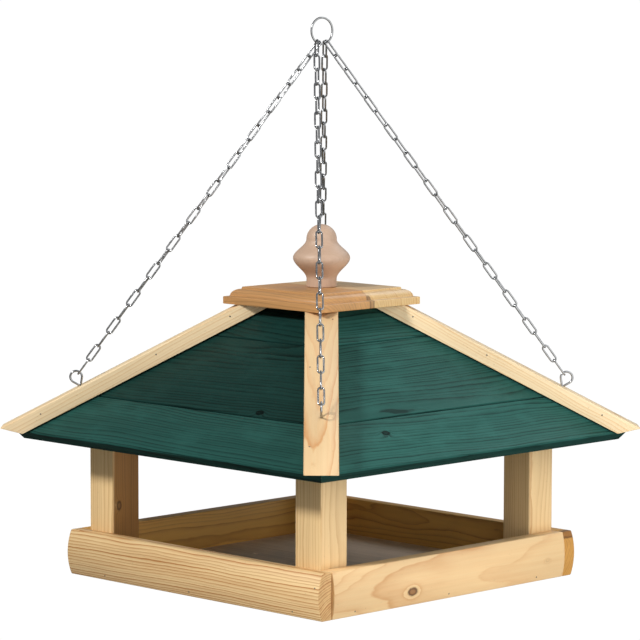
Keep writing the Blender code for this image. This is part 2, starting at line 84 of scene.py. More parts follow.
# Timber details
DOUBLES = 2e-6                   # corners of a mesh nearer than this are one
FLAT = math.radians(0.5)         # faces that turn less than this are one
SHARP = math.radians(36.0)       # arrises that turn more than this are eased
EASE = 0.0007
CAP_EASE = 0.0008
POST_EASE = 0.0011
RAIL_EASE = 0.0014
BATTEN_ROUND = 0.0007
BOARD_EASE = 0.0005
MITRE_CLOSE = 0.0002             # how far each board's end is drawn out to meet its neighbour
RAIL_CROWN = {"front": 0.0068, "right": 0.0042}   # how far a rail's outer face is arched

# Nails: a share of the rail's half length and a height, or a share of the eye's reach and a side
NAIL_RADIUS = 0.0010
NAIL_RISE = 0.0003
NAIL_SINK = 0.0004               # how far a head reaches into the wood
NAIL_SIDES = 14
RAIL_NAILS = {"front": ((-0.70, 0.0065), (-0.01, 0.0065), (0.79, 0.0065), (0.97, 0.041)),
              "right": ((-0.82, 0.0060), (-0.03, 0.0060), (0.75, 0.0060))}
BATTEN_NAILS = ((1.17, -1.0), (0.70, -1.0), (0.40, 1.0))
BATTEN_HALF = 0.0210
NAIL_ACROSS = 0.0140             # from the middle of a batten's upper face
NAIL_DOWN = 0.0075               # below the arris, in a batten's sides

# Wire details
RING_WIRE = 0.0027
RING_STEPS = 96
LINK_WIRE = 0.0024
LINK_PITCH = 0.0220
LINK_WIDTH = 0.0098
LINK_BITE = 0.00025
LINK_STEPS = 8                   # in each of a link's half rounds
WELD_SWELL = 1.10
HOOK_GAP = 0.0005
EYE_RADIUS = 0.0076
EYE_WIRE = 0.0028
EYE_LIFT = 0.0128
EYE_SHANK = 0.049
EYE_POINT = 0.0022               # length of the shank's point
EYE_POINT_RADIUS = 0.0002
EYE_NECK = 0.0012                # how far above the wood the teardrop closes
EYE_CLOSE = 0.0016               # how far beside the shank its end comes down
EYE_STEPS = 40
RING_PLAN_ANGLE = math.radians(82.5)
LINK_PLACES = {"front": -0.0086, "left": -0.0056, "back": 0.0046, "right": 0.0076}

# Finial, as shares of its height and of its widest radius
NECK_SHARE = 0.528
WAIST_SHARE = 0.534
FINIAL_LEVELS = (0.124, 0.464, 0.7605)
FINIAL_FOOT = 0.0006             # metres taken off its lower edge
FINIAL_SEGMENTS = 96
SWELL_STEPS = 26
DOME_STEPS = 18


def outward(angle):
    turn = math.radians(angle)
    return Vector((math.cos(turn), math.sin(turn), 0.0))


# ---------------------------------------------------------------- node materials
class Shader:
    """Builds one node material; an argument may be a socket, a number or a colour."""

    def __init__(self, name):
        self.material = bpy.data.materials.new(name)
        self.material.use_nodes = True
        self.tree = self.material.node_tree
        self.tree.nodes.clear()
        self.surface = self.node("ShaderNodeBsdfPrincipled")
        output = self.node("ShaderNodeOutputMaterial")
        self.tree.links.new(self.surface.outputs[0], output.inputs["Surface"])

    def feed(self, socket, value):
        if isinstance(value, bpy.types.NodeSocket):
            self.tree.links.new(value, socket)
        elif socket.type == "RGBA" and len(value) == 3:
            socket.default_value = (*value, 1.0)
        else:
            socket.default_value = value

    def node(self, kind, inputs=None, **settings):
        node = self.tree.nodes.new(kind)
        for key, value in settings.items():
            setattr(node, key, value)
        for key, value in (inputs or {}).items():
            self.feed(node.inputs[key], value)
        return node

    def math(self, operation, a, b=0.0, clamp=False):
        inputs = {0: a, 1: b}
        return self.node("ShaderNodeMath", inputs, operation=operation, use_clamp=clamp).outputs[0]

    def add(self, a, b):
        return self.math("ADD", a, b)

    def times(self, a, b):
        return self.math("MULTIPLY", a, b)

    def split(self, vector):
        return self.node("ShaderNodeSeparateXYZ", {0: vector}).outputs

    def join(self, x, y, z):
        return self.node("ShaderNodeCombineXYZ", {0: x, 1: y, 2: z}).outputs[0]

    def scaled(self, vector, factors):
        return self.node("ShaderNodeVectorMath", {0: vector, 1: factors}, operation="MULTIPLY").outputs[0]

    def stretch(self, vector, along, across, depth=None):
        """Scale a grain vector, so that a noise of it is long along the fibres."""
        return self.scaled(vector, (along, across, across if depth is None else depth))

    def noise(self, vector, detail=2.0, roughness=0.5, scale=1.0):
        inputs = {"Vector": vector, "Scale": scale, "Detail": detail, "Roughness": roughness}
        return self.node("ShaderNodeTexNoise", inputs).outputs[0]

    def centred(self, noise, amount):
        """A noise moved to lie about nought and scaled."""
        return self.times(self.math("SUBTRACT", noise, 0.5), amount)

    def smooth(self, value, start, end, low=0.0, high=1.0):
        inputs = {0: value, 1: start, 2: end, 3: low, 4: high}
        return self.node("ShaderNodeMapRange", inputs, interpolation_type="SMOOTHSTEP").outputs[0]

    def ramp(self, value, stops):
        node = self.node("ShaderNodeValToRGB", {0: value})
        elements = node.color_ramp.elements
        while len(elements) < len(stops):
            elements.new(0.5)
        for element, (position, shade) in zip(elements, stops):
            element.position = position
            element.color = (shade, shade, shade, 1.0)
        return node.outputs[0]

    def blend(self, share, low, high):
        inputs = {0: share, 6: low, 7: high}
        return self.node("ShaderNodeMix", inputs, data_type="RGBA").outputs[2]

    def shade(self, colour, factor):
        """Colour made lighter or darker by a number."""
        return self.scaled(colour, self.join(factor, factor, factor))

    def finish(self, colour, roughness, height, relief):
        bump = self.node("ShaderNodeBump", {"Strength": 1.0, "Distance": relief, "Height": height})
        self.feed(self.surface.inputs["Base Color"], colour)
        self.feed(self.surface.inputs["Roughness"], roughness)
        self.feed(self.surface.inputs["Normal"], bump.outputs[0])
        return self.material


def wood(name, early, late, heart, ring=0.0034, heart_radius=0.0, contrast=1.0, wander=0.02,
         slant=0.0, roughness=0.5, relief=0.00012, mottle=None, cloudy=0.8, gloss=0.4, knots=(),
         end_shade=(0.86, 0.78, 0.68)):
    """Softwood cut from a trunk: growth rings about the pith, fibres, streaks, knots and end grain.

    The "grain" attribute holds metres along the fibres and from the pith; "end" is 1 on end grain, and on
    the boards also on their long edges, where its darkening is partly painted shade.
    Ring is the rings' spacing, wander how far they stray, and slant how far they drift along the
    piece. Each knot is (along, across, radius, darkness).
    """
    s = Shader(name)
    grain = s.node("ShaderNodeAttribute", attribute_name="grain").outputs["Vector"]
    end = s.node("ShaderNodeAttribute", attribute_name="end").outputs["Fac"]
    along, across, depth = s.split(grain)

    # Growth rings
    slow = s.centred(s.noise(s.stretch(grain, 3.1, 9.0), 2.0), wander)
    quick = s.centred(s.noise(s.stretch(grain, 14.0, 60.0), 3.0), 0.0035)
    radius = s.math("SQRT", s.add(s.times(across, across), s.times(depth, depth)))
    radius = s.add(s.add(radius, s.times(along, slant)), s.add(slow, quick))
    rims = []
    for knot_along, knot_across, knot_radius, darkness in knots:
        run = s.times(s.math("SUBTRACT", along, knot_along), 0.62)
        rise = s.math("SUBTRACT", across, knot_across)
        rough_edge = s.centred(s.noise(s.stretch(grain, 300.0, 300.0, 80.0), 2.0), knot_radius * 0.5)
        reach = s.add(s.math("SQRT", s.add(s.times(run, run), s.times(rise, rise))), rough_edge)
        nearness = s.math("POWER", s.times(reach, 0.60 / knot_radius), 2.0)
        near = s.math("EXPONENT", s.times(nearness, -1.0))
        radius = s.add(radius, s.times(near, knot_radius * 2.3))
        rims.append((reach, knot_radius, darkness))
    uneven = s.centred(s.noise(s.join(s.times(radius, 55.0), 0.0, 0.0), 1.0), 2.6)
    count = s.add(s.times(radius, 1.0 / ring), uneven)
    phase = s.math("FRACT", count)
    year = ((0.0, 0.05), (0.10, 0.0), (0.52, 0.12), (0.80, 0.55), (0.93, 1.0), (1.0, 0.05))
    profile = s.ramp(phase, year)
    number = {"W": s.math("FLOOR", count)}
    which = s.node("ShaderNodeTexWhiteNoise", number, noise_dimensions="1D").outputs[0]
    latewood = s.times(profile, s.add(s.times(which, 0.75), 0.35))

    # Fibres, streaks and broad changes of tone
    fibre = s.noise(s.stretch(grain, 22.0, 900.0), 3.0, 0.6)
    streak = s.noise(s.stretch(grain, 5.0, 160.0), 3.0, 0.6)
    broad = s.noise(s.stretch(grain, 4.0, 22.0), 2.0)
    share = s.times(latewood, contrast)
    share = s.add(share, s.centred(streak, 0.55 * contrast))
    share = s.add(share, s.centred(fibre, 0.35 * contrast))
    colour = s.blend(s.math("ADD", share, 0.04, clamp=True), early, late)
    if heart_radius:
        uneven_edge = s.add(radius, s.centred(streak, 0.006))
        inside = s.smooth(uneven_edge, heart_radius + 0.003, heart_radius - 0.003)
        deep = s.blend(s.math("ADD", share, 0.15, clamp=True), heart, s.shade(heart, 0.55))
        colour = s.blend(inside, colour, deep)
    if mottle:
        cloud = s.smooth(s.noise(s.stretch(grain, 16.0, 38.0), 4.0, 0.62), 0.44, 0.70)
        colour = s.blend(s.times(cloud, cloudy), colour, mottle)
    tone = s.add(s.add(1.0, s.centred(broad, 0.34)), s.centred(fibre, 0.16))

    # Knots: a dark rim, a brown heart with its own fine rings
    roughen = s.times(latewood, -0.08)
    height = s.add(s.times(latewood, 0.45), s.times(fibre, 0.9))
    for reach, knot_radius, darkness in rims:
        core = s.smooth(reach, knot_radius * 1.15, knot_radius * 0.85)
        outside = s.smooth(reach, knot_radius * 1.5, knot_radius)
        rim = s.times(outside, s.smooth(reach, knot_radius * 0.5, knot_radius))
        fine = s.times(s.math("FRACT", s.times(reach, 1400.0)), 0.25)
        brown = s.shade(s.blend(0.5, heart, late), s.math("SUBTRACT", 1.25 - 0.6 * darkness, fine))
        colour = s.blend(s.times(core, darkness), colour, brown)
        colour = s.blend(s.times(rim, darkness), colour, s.shade(heart, 0.26))
        height = s.math("SUBTRACT", height, s.times(rim, 0.8))

    # Small dents and specks of dirt from handling
    speck = s.smooth(s.noise(s.stretch(grain, 260.0, 420.0), 1.0), 0.72, 0.80)
    tone = s.math("SUBTRACT", tone, s.times(speck, 0.16))
    colour = s.blend(end, colour, s.scaled(colour, end_shade))
    height = s.math("SUBTRACT", height, s.times(speck, 0.4))
    dull = s.add(s.add(roughness, roughen), s.add(s.centred(streak, 0.20), s.times(end, 0.12)))
    s.surface.inputs["Specular IOR Level"].default_value = gloss
    return s.finish(s.shade(colour, tone), dull, height, relief)


def steel(name, colour, roughness, stain=0.5):
    """Zinc-plated wire: crystalline patches, faint draw marks and a few dull spots."""
    s = Shader(name)
    place = s.node("ShaderNodeTexCoord").outputs["Object"]
    patch = s.noise(s.stretch(place, 420.0, 420.0), 3.0, 0.6)
    fine = s.noise(s.stretch(place, 2600.0, 2600.0), 2.0)
    dull = s.smooth(s.noise(s.stretch(place, 150.0, 150.0), 3.0), 0.50, 0.70)
    tint = s.blend(s.times(dull, stain), colour, s.shade(colour, 0.55))
    tint = s.shade(tint, s.add(0.86, s.times(patch, 0.28)))
    s.surface.inputs["Metallic"].default_value = 1.0
    rough = s.add(s.add(roughness, s.centred(patch, 0.12)), s.times(dull, 0.12))
    return s.finish(tint, rough, s.add(patch, s.times(fine, 0.2)), 0.00001)


# ---------------------------------------------------------------- grain on a piece
class Grain:
    """Where a piece was cut from its trunk: fibre direction, face direction and the pith line."""

    def __init__(self, along, face, centre, pith, seed):
        self.axes = (along.normalized(), face.cross(along).normalized(), face.normalized())
        self.offset = (seed, *pith)
        self.centre = centre

    def at(self, point):
        local = point - self.centre
        return [axis.dot(local) + shift for axis, shift in zip(self.axes, self.offset)]

    def knot(self, node, shares, radius, darkness):
        """A knot at shares of a node's box, from nought at its low corner to one at its high."""
        low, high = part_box(node)
        spot = Vector(a + (b - a) * share for a, b, share in zip(low, high, shares))
        along, across, _ = self.at(spot)
        return (along, across, radius, darkness)


def lay_grain(obj, grain, edges=False):
    """Write the grain onto a mesh; with edges, the long edges are darkened as the ends are: partly stain
    they take up, partly painted shade on the eave edges and in the seams.
    """
    mesh = obj.data
    points = mesh.attributes.new("grain", "FLOAT_VECTOR", "POINT")
    for vertex in mesh.vertices:
        points.data[vertex.index].vector = grain.at(vertex.co)
    ends = mesh.attributes.new("end", "FLOAT", "FACE")
    for face in mesh.polygons:
        facing = abs(face.normal.dot(grain.axes[0]))
        if edges:
            # on boards the long edges darken too: stain soaked in, and painted shade on the eave edges and
            # in the seams
            facing = max(facing, abs(face.normal.dot(grain.axes[1])))
        ends.data[face.index].value = min(1.0, max(0.0, (facing - 0.6) * 3.0))


# ---------------------------------------------------------------- pieces
def new_object(name, bm, material, smooth=True):
    bmesh.ops.recalc_face_normals(bm, faces=bm.faces)
    mesh = bpy.data.meshes.new(name)
    bm.to_mesh(mesh)
    bm.free()
    if smooth:
        mesh.shade_smooth()
    obj = bpy.data.objects.new(name, mesh)
    bpy.context.scene.collection.objects.link(obj)
    if material:
        mesh.materials.append(material)
    return obj


def attach(obj, nodes=(), body="feeder"):
    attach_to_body(obj, body)
    if nodes:
        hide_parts(*nodes)
    return obj


def eased_piece(frame, node, material, grain, ease=EASE, edges=False, longer=0.0, smooth=True):
    """A timber piece with the CAD's shape, its arrises taken off as with fine sandpaper.

    Longer draws out both its ends; without smooth its faces are shaded flat.
    """
    bm = bmesh.new()
    bm.from_mesh(frame["nodes"][node].data)
    if longer:
        along = grain.axes[0]
        for vertex in bm.verts:
            vertex.co += along * math.copysign(longer, along.dot(vertex.co - grain.centre))
    bmesh.ops.remove_doubles(bm, verts=bm.verts, dist=DOUBLES)
    bmesh.ops.dissolve_limit(bm, angle_limit=FLAT, verts=bm.verts, edges=bm.edges)
    obj = new_object(node + "_eased", bm, None, smooth)
    bevel = obj.modifiers.new("ease", "BEVEL")
    bevel.width = ease
    bevel.segments = 2
    bevel.limit_method = "ANGLE"
    bevel.angle_limit = SHARP
    bevel.harden_normals = smooth
    bpy.context.view_layer.update()
    depsgraph = bpy.context.evaluated_depsgraph_get()
    worked = bpy.data.meshes.new_from_object(obj.evaluated_get(depsgraph))
    obj.modifiers.clear()
    obj.data = worked
    obj.data.materials.clear()
    obj.data.materials.append(material)
    lay_grain(obj, grain, edges)
    return attach(obj, [node])


def middle_of(node):
    low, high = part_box(node)
    return (low + high) / 2.0


def tube(bm, path, sides, across, closed=True):
    """A round wire along a flat path of (point, radius); across is the path's normal."""
    count = len(path)
    rings = []
    for k, (point, radius) in enumerate(path):
        after = path[(k + 1) % count][0] if closed or k + 1 < count else point
        before = path[k - 1][0] if closed or k else point
        tangent = (after - before).normalized()
        outer = tangent.cross(across).normalized()
        ring = []
        for i in range(sides):
            turn = 2.0 * math.pi * i / sides
            ring.append(bm.verts.new(point + (outer * math.cos(turn) + across * math.sin(turn)) * radius))
        rings.append(ring)
    pairs = list(zip(rings, rings[1:]))
    if closed:
        pairs.append((rings[-1], rings[0]))
    else:
        bm.faces.new(rings[0][::-1])
        bm.faces.new(rings[-1])
    for lower, upper in pairs:
        for i in range(sides):
            j = (i + 1) % sides
            bm.faces.new((lower[i], lower[j], upper[j], upper[i]))


def build_ring(metal):
    low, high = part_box("hanging_ring")
    centre = (low + high) / 2.0
    radius = (high.z - low.z - RING_WIRE) / 2.0
    tangent = ring_tangent()
    bm = bmesh.new()
    path = []
    for k in range(RING_STEPS):
        turn = 2.0 * math.pi * k / RING_STEPS
        point = centre + tangent * (radius * math.cos(turn)) + UP * (radius * math.sin(turn))
        path.append((point, RING_WIRE / 2.0))
    tube(bm, path, 16, tangent.cross(UP))
    attach(new_object("ring_round", bm, metal), ["hanging_ring"], "ring")


def ring_tangent():
    return Vector((math.cos(RING_PLAN_ANGLE), math.sin(RING_PLAN_ANGLE), 0.0))


def hip_axes(corner):
    """Directions down the hip and square off the batten's face."""
    away = outward(CORNERS[corner])
    down = away * math.cos(HIP_ANGLE) - UP * math.sin(HIP_ANGLE)
    return away, down, away * math.sin(HIP_ANGLE) + UP * math.cos(HIP_ANGLE)


def eye_middle(corner):
    """The CAD loop's middle: its box reaches as far beyond the middle as the loop and its wire do."""
    low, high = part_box("screw_eye_" + corner)
    reach = (max(abs(low.x), abs(high.x)) - EYE_WIRE / 2.0) * math.sqrt(2.0) - EYE_RADIUS
    return outward(CORNERS[corner]) * reach + UP * (high.z - EYE_WIRE / 2.0 - EYE_RADIUS)


def build_eye(corner, metal):
    """A screw eye bent from one wire: a pointed shank and a teardrop loop that closes on it."""
    middle = eye_middle(corner)
    _, down_hip, off = hip_axes(corner)
    normal = off.cross(down_hip).normalized()
    half_wire = EYE_WIRE / 2.0
    bm = bmesh.new()
    path = [(middle - off * EYE_SHANK, EYE_POINT_RADIUS)]
    shank = EYE_SHANK - EYE_POINT
    for k in range(8):
        depth = shank - (shank - EYE_LIFT) * k / 7
        path.append((middle - off * depth, half_wire))
    tangent_turn = math.acos(EYE_RADIUS / (EYE_LIFT + EYE_NECK))
    start = -math.pi / 2.0 - tangent_turn
    sweep = -2.0 * (math.pi - tangent_turn)
    for k in range(EYE_STEPS + 1):
        turn = start + sweep * k / EYE_STEPS
        point = middle + (down_hip * math.cos(turn) + off * math.sin(turn)) * EYE_RADIUS
        path.append((point, half_wire))
    last = path[-1][0]
    foot = middle - off * (EYE_LIFT - EYE_NECK) + down_hip * EYE_CLOSE
    for k in range(1, 6):
        path.append((last.lerp(foot, k / 5), half_wire))
    tube(bm, path, 12, normal, closed=False)
    attach(new_object("eye_" + corner, bm, metal), ["screw_eye_" + corner])


def link_path(centre, along, width_axis, inner_length):
    """Middle line of one link, with the weld's slight swelling on one side."""
    radius = (LINK_WIDTH - LINK_WIRE) / 2.0
    straight = (inner_length + LINK_WIRE) / 2.0 - radius
    path = []
    for end, swell in ((1.0, WELD_SWELL), (-1.0, 1.0)):
        for k in range(LINK_STEPS + 1):
            turn = math.pi * k / LINK_STEPS
            side = width_axis * (end * radius * math.cos(turn))
            reach = along * (end * (straight + radius * math.sin(turn)))
            path.append((centre + side + reach, LINK_WIRE / 2.0))
        for share, thicker in ((0.35, 1.0), (0.46, swell), (0.54, swell), (0.65, 1.0)):
            reach = along * (end * straight * (1.0 - 2.0 * share))
            path.append((centre - width_axis * (end * radius) + reach, LINK_WIRE / 2.0 * thicker))
    return path


def build_chain(corner, metal):
    """Links, each turned about a quarter from the last, hooked over the ring and through the eye."""
    low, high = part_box("hanging_ring")
    centre_z = (low.z + high.z) / 2.0
    ring_radius = (high.z - low.z - RING_WIRE) / 2.0
    place = LINK_PLACES[corner]
    drop = math.sqrt(ring_radius ** 2 - place ** 2)
    start = ring_tangent() * place + UP * (centre_z - drop)
    middle = eye_middle(corner)
    finish = middle + (start - middle).normalized() * EYE_RADIUS
    along = (finish - start).normalized()
    top = start - along * (RING_WIRE / 2.0 + HOOK_GAP + LINK_WIRE / 2.0)
    bottom = finish + along * (EYE_WIRE / 2.0 + HOOK_GAP + LINK_WIRE / 2.0)
    length = (bottom - top).length
    links = round(length / LINK_PITCH)
    inner = (length - LINK_WIRE - (links - 1) * LINK_BITE) / links
    first_width = ring_tangent().cross(along).normalized()
    last_width = along.cross(outward(CORNERS[corner]).cross(UP)).cross(along).normalized()
    wanted = math.atan2(along.dot(first_width.cross(last_width)), first_width.dot(last_width))
    free_turn = (links - 1) * math.pi / 2.0
    twist = (wanted - free_turn + math.pi / 2.0) % math.pi - math.pi / 2.0
    step = math.pi / 2.0 + twist / (links - 1)
    bm = bmesh.new()
    for k in range(links):
        centre = top + along * ((inner + LINK_WIRE) / 2.0 + k * (inner + LINK_BITE))
        width_axis = Matrix.Rotation(k * step, 3, along) @ first_width
        tube(bm, link_path(centre, along, width_axis, inner), 10, along.cross(width_axis).normalized())
    attach(new_object("chain_links_" + corner, bm, metal), ["chain_" + corner])


def turned(bm, profile, segments):
    """Turn (radius, height) points about Z; the first and last lie on the axis."""
    loops = []
    for radius, height in profile:
        if radius == 0.0:
            loops.append([bm.verts.new((0.0, 0.0, height))])
            continue
        turns = [2.0 * math.pi * k / segments for k in range(segments)]
        loops.append([bm.verts.new((radius * math.cos(a), radius * math.sin(a), height)) for a in turns])
    for lower, upper in zip(loops, loops[1:]):
        for i in range(segments):
            j = (i + 1) % segments
            below = [lower[i % len(lower)], lower[j % len(lower)]]
            above = [upper[j % len(upper)], upper[i % len(upper)]]
            bm.faces.new(dict.fromkeys(below + above))


def build_finial(material, grain):
    """The turned knob, with fine steps, from the CAD piece's height and widest radius."""
    low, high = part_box("finial")
    tall = high.z - low.z
    belly = (high.x - low.x) / 2.0
    neck, waist = belly * NECK_SHARE, belly * WAIST_SHARE
    levels = [tall * share for share in FINIAL_LEVELS]
    swell = ((neck, levels[0]), (belly, levels[1]), (waist, levels[2]))
    profile = [(0.0, 0.0), (neck - FINIAL_FOOT, 0.0), (neck, FINIAL_FOOT), swell[0]]
    for (r0, z0), (r1, z1) in zip(swell, swell[1:]):
        for k in range(1, SWELL_STEPS + 1):
            share = 0.5 - 0.5 * math.cos(math.pi * k / SWELL_STEPS)
            profile.append((r0 + (r1 - r0) * share, z0 + (z1 - z0) * k / SWELL_STEPS))
    for k in range(1, DOME_STEPS):
        turn = 0.5 * math.pi * k / DOME_STEPS
        profile.append((waist * math.cos(turn), levels[2] + (tall - levels[2]) * math.sin(turn)))
    profile.append((0.0, tall))
    bm = bmesh.new()
    turned(bm, [(radius, height + low.z) for radius, height in profile], FINIAL_SEGMENTS)
    obj = new_object("finial_turned", bm, material)
    obj.data.set_sharp_from_angle(angle=math.radians(40.0))
    lay_grain(obj, grain)
    attach(obj, ["finial"])


def nail(bm, point, normal):
    """A small domed nail head standing just proud of the wood."""
    side = normal.orthogonal().normalized()
    other = normal.cross(side)
    loops = []
    dome = ((1.0, -NAIL_SINK), (1.0, NAIL_RISE * 0.5), (0.8, NAIL_RISE), (0.35, NAIL_RISE * 1.4))
    for share, rise in dome:
        loop = []
        for k in range(NAIL_SIDES):
            turn = 2.0 * math.pi * k / NAIL_SIDES
            offset = (side * math.cos(turn) + other * math.sin(turn)) * (NAIL_RADIUS * share)
            loop.append(bm.verts.new(point + offset + normal * rise))
        loops.append(loop)
    for lower, upper in zip(loops, loops[1:]):
        for i in range(NAIL_SIDES):
            j = (i + 1) % NAIL_SIDES
            bm.faces.new((lower[i], lower[j], upper[j], upper[i]))
    bm.faces.new(loops[0][::-1])
    bm.faces.new(loops[-1])


def batten_nails(bm, corner):
    """Three nails through a batten: into its upper face, or into its sides on the left and right hips."""
    away, down_hip, off = hip_axes(corner)
    middle = eye_middle(corner)
    foot = middle - off * EYE_LIFT
    reach = middle.dot(away)
    sideways = UP.cross(away)
    for share, side in BATTEN_NAILS:
        spot = foot + down_hip * (reach * (share - 1.0) / math.cos(HIP_ANGLE))
        if corner in ("front", "back"):
            nail(bm, spot + sideways * (side * NAIL_ACROSS), off)
        else:
            for face in (-1.0, 1.0):
                nail(bm, spot + sideways * (face * BATTEN_HALF) - off * NAIL_DOWN, sideways * face)


def rail_spot(side, share, height):
    """A point on a rail's arched face, at a share of its half length, and the direction it faces."""
    low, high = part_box("tray_rail_" + side)
    half = (high.z - low.z) / 2.0
    crown = RAIL_CROWN[side]
    radius = (half * half + crown * crown) / (2.0 * crown)
    tilt = math.asin((height - half) / radius)
    away = outward(SIDES[side])
    reach = max(abs(low.dot(away)), abs(high.dot(away))) - radius * (1.0 - math.cos(tilt))
    along = UP.cross(away)
    spread = max(abs(low.dot(along)), abs(high.dot(along))) * share
    return away * reach + along * spread + UP * (low.z + height), away * math.cos(tilt) + UP * math.sin(tilt)


def build_nails(metal):
    """Nail heads on the battens and along the rails' lower edges."""
    bm = bmesh.new()
    for corner in CORNERS:
        batten_nails(bm, corner)
    attach(new_object("batten_nails", bm, metal))

    bm = bmesh.new()
    for side, spots in RAIL_NAILS.items():
        for share, height in spots:
            nail(bm, *rail_spot(side, share, height))
    attach(new_object("rail_nails", bm, metal))


# ---------------------------------------------------------------- timber
PINE = {"early": (0.83, 0.600, 0.310), "late": (0.50, 0.240, 0.070), "heart": (0.42, 0.175, 0.045)}
LINED = dict(PINE, late=(0.46, 0.190, 0.050))
PALE = {"early": (0.92, 0.735, 0.470), "late": (0.74, 0.460, 0.200), "heart": (0.42, 0.175, 0.045)}
WARM = {"early": (0.88, 0.620, 0.325), "late": (0.62, 0.270, 0.085), "heart": (0.40, 0.160, 0.040)}
WARM_DULL = dict(WARM, early=(0.80, 0.575, 0.315))
GOLDEN = {"early": (0.74, 0.420, 0.105), "late": (0.40, 0.175, 0.035), "heart": (0.36, 0.130, 0.025)}
RED_PINE = {"early": (0.70, 0.490, 0.245), "late": (0.50, 0.240, 0.080), "heart": (0.58, 0.300, 0.110)}
BEECH = {"early": (0.565, 0.398, 0.292), "late": (0.48, 0.310, 0.208), "heart": (0.5, 0.27, 0.15)}
GREY_BOARD = {"early": (0.78, 0.620, 0.490), "late": (0.50, 0.362, 0.260), "heart": (0.2, 0.12, 0.07)}
POST_HEART = (0.47, 0.225, 0.060)
STAIN = Vector((0.0092, 0.0390, 0.0335))

# How bright each side's boards are, as shares of the stain's colour, from the eave up: painted light makes
# the right side brightest, and the front is darker above its lower board, painted shade towards the cap
STAIN_AND_LIGHT_TONES = {"front": (1.9, 0.95, 0.95), "right": (2.70, 2.45, 2.9),
               "back": (1.8, 1.3, 1.6), "left": (1.6, 1.2, 1.4)}
BOARD_PITHS = (0.110, 0.062, 0.045)

# Where each rail was cut: how far along the trunk, and the pith beside and behind its middle
RAIL_CUTS = {"front": (1.3, (0.060, 0.030)), "right": (4.1, (0.004, 0.046)),
             "back": (7.7, (-0.020, 0.060)), "left": (9.9, (0.012, 0.045))}
RAIL_LOOKS = {"front": dict(LINED, ring=0.0031, contrast=1.6, wander=0.010),
              "right": dict(WARM, ring=0.0040, contrast=0.75, wander=0.024, slant=-0.035),
              "back": dict(GOLDEN, ring=0.0032, contrast=0.9),
              "left": dict(GOLDEN, ring=0.0036, contrast=0.9)}

# Each knot: shares of the piece's box, radius and darkness
KNOTS = {"tray_rail_right": (((0.982456, 0.325247, 0.297619), 0.0043, 0.90),
                             ((0.982456, 0.919218, 0.438776), 0.0022, 0.12)),
         "tray_rail_back": (((0.995242, 0.961373, 0.930272), 0.0046, 0.70),),
         "corner_post_left": (((0.977778, 0.231111, 0.418291), 0.0032, 0.95),),
         "cap_plate": (((0.988075, 0.506101, 0.425339), 0.0036, 0.80),),
         "roof_board_front_middle": (((0.738517, 0.047152, 0.167301), 0.0034, 0.90),),
         "roof_board_right_lower": (((0.396269, 0.275678, 0.747364), 0.0034, 0.90),)}


def knots_of(node, grain):
    return [grain.knot(node, *knot) for knot in KNOTS.get(node, ())]


def build_rails(frame):
    for side, angle in SIDES.items():
        node = "tray_rail_" + side
        face = outward(angle)
        seed, pith = RAIL_CUTS[side]
        grain = Grain(UP.cross(face), face, middle_of(node), pith, seed)
        material = wood("rail_" + side, knots=knots_of(node, grain), **RAIL_LOOKS[side])
        eased_piece(frame, node, material, grain, RAIL_EASE)


def build_floor(frame):
    grain = Grain(ACROSS, UP, middle_of("tray_floor"), (0.03, 0.07), 3.3)
    material = wood("floor_board", ring=0.0055, contrast=0.9, roughness=0.60, relief=0.00022,
                    mottle=(0.58, 0.470, 0.390), cloudy=0.6, **GREY_BOARD)
    eased_piece(frame, "tray_floor", material, grain, smooth=False)


def build_posts(frame):
    """Four posts; the left one shows its heart and a knot."""
    for k, corner in enumerate(CORNERS):
        node = "corner_post_" + corner
        looks = dict(PINE, ring=0.0030, contrast=0.70)
        pith = (0.018 * (-1) ** k, 0.040)
        if corner == "left":
            looks.update(ring=0.0034, heart_radius=0.027, heart=POST_HEART, wander=0.008)
            pith = (0.004, -0.030)
        grain = Grain(UP, ACROSS, middle_of(node), pith, 11.0 + 2.3 * k)
        material = wood("post_" + corner, knots=knots_of(node, grain), **looks)
        eased_piece(frame, node, material, grain, POST_EASE)


def build_hips(frame):
    """Battens over the hips and rafters under them."""
    for k, corner in enumerate(CORNERS):
        _, down_hip, off = hip_axes(corner)
        colours = WARM_DULL if corner == "front" else PALE
        batten = dict(colours, ring=0.0038, contrast=0.75, wander=0.024, slant=0.03)
        for name, depth, looks in (("hip_batten_", 0.034, batten), ("hip_rafter_", 0.05, PINE)):
            node = name + corner
            pith = (0.006 * (-1) ** k, depth)
            grain = Grain(down_hip, off, middle_of(node), pith, 21.0 + 1.7 * k + depth)
            eased_piece(frame, node, wood(node, **looks), grain, BATTEN_ROUND)


def stained(name, colour, slant, knots):
    """Green stain that the grain still shows through, darker on every edge: partly stain soaked in, partly
    painted shade on the eave edges and in the seams.
    """
    return wood(name, tuple(colour * 1.06), tuple(colour * 0.34), tuple(colour * 0.3), ring=0.0044,
                contrast=1.25, wander=0.026, slant=slant, roughness=0.46, relief=0.00020,
                mottle=tuple(colour * 1.45), cloudy=0.40, gloss=0.03, knots=knots,
                end_shade=(0.42, 0.42, 0.42))


def build_boards(frame):
    """Stained boards; each has its own cut and, where it shows, its own knot."""
    for k, (side, angle) in enumerate(SIDES.items()):
        away = outward(angle)
        face = away * math.sin(ROOF_ANGLE) + UP * math.cos(ROOF_ANGLE)
        slant = 0.02 * (-1) ** k
        for m, level in enumerate(LEVELS):
            node = "roof_board_" + side + "_" + level
            pith = ((-1) ** (k + m) * BOARD_PITHS[m], 0.026 + 0.010 * ((k * 3 + m) % 4))
            grain = Grain(UP.cross(away), face, middle_of(node), pith, 61.0 + 3.1 * k + 1.3 * m)
            # painted light and shade in the colour: brightest on the right, darker above the front's lower
            # board
            colour = STAIN * STAIN_AND_LIGHT_TONES[side][m]
            material = stained("stain_and_light_" + side + "_" + level, colour, slant, knots_of(node, grain))
            # True: the long edges darken as the ends do, partly painted shade on the eave edges and in the
            # seams
            eased_piece(frame, node, material, grain, BOARD_EASE, True, MITRE_CLOSE)


